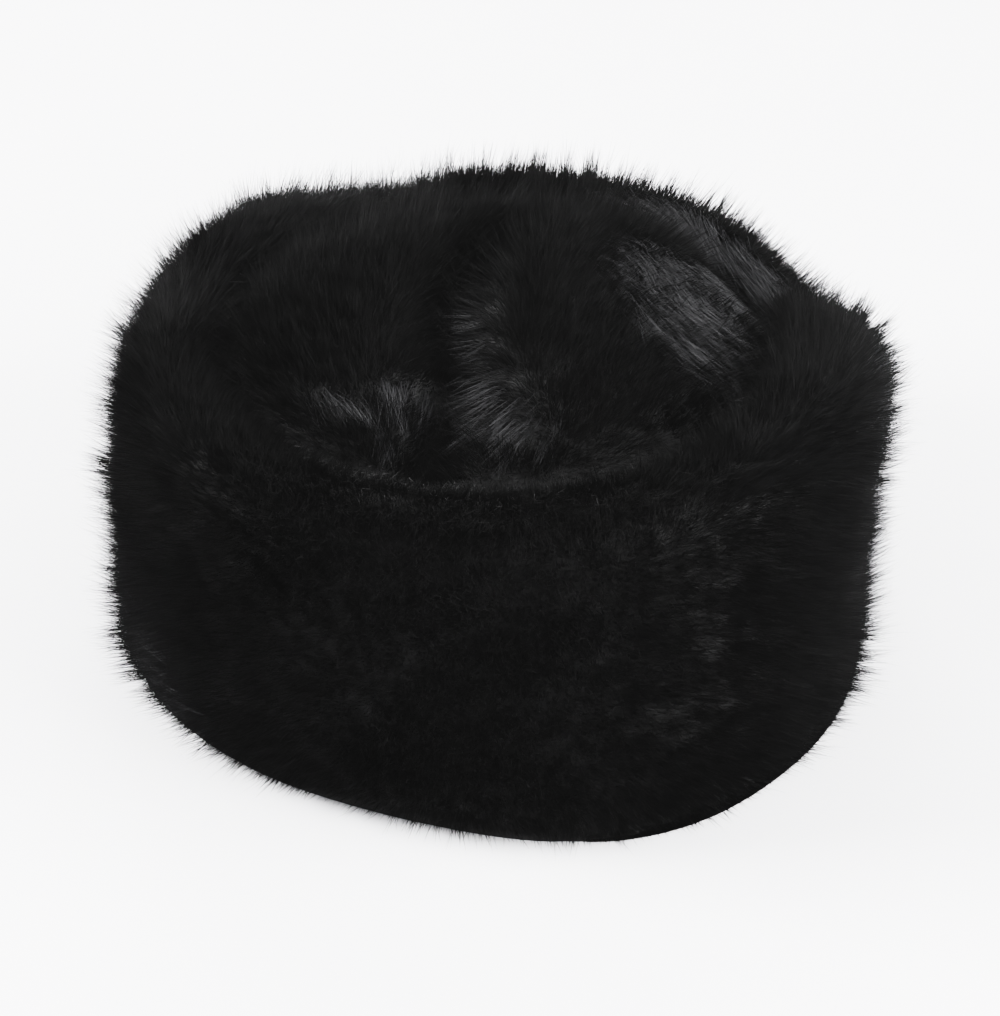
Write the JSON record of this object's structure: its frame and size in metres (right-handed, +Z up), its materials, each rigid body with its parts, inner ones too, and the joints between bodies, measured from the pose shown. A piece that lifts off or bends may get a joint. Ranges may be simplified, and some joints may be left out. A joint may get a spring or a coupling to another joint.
{
  "type": "rabbit fur hat",
  "caption": "Round soft fur hat: a domed crown of two pelts joined by a front-to-back seam, inside a deep turned-up fur cuff, open below for the head.",
  "frame": {"origin": "middle of the bounding box, on the surface that the cuff rests on", "axes": "+Z up, -Y towards the hat's front, +X to the right of a viewer who faces the front; the crown's seam runs along Y"},
  "size_m": [0.267, 0.2752, 0.1352],
  "materials": {
    "black_rabbit_fur": "deep glossy black fur, dense underfur with longer guard hairs",
    "hide": "matte suede side of the pelt, dyed black, inside the crown"
  },
  "bodies": {
    "root": {"crown_left_pelt": "black_rabbit_fur", "crown_right_pelt": "black_rabbit_fur", "fur_cuff": "black_rabbit_fur"}
  },
  "joints": []
}
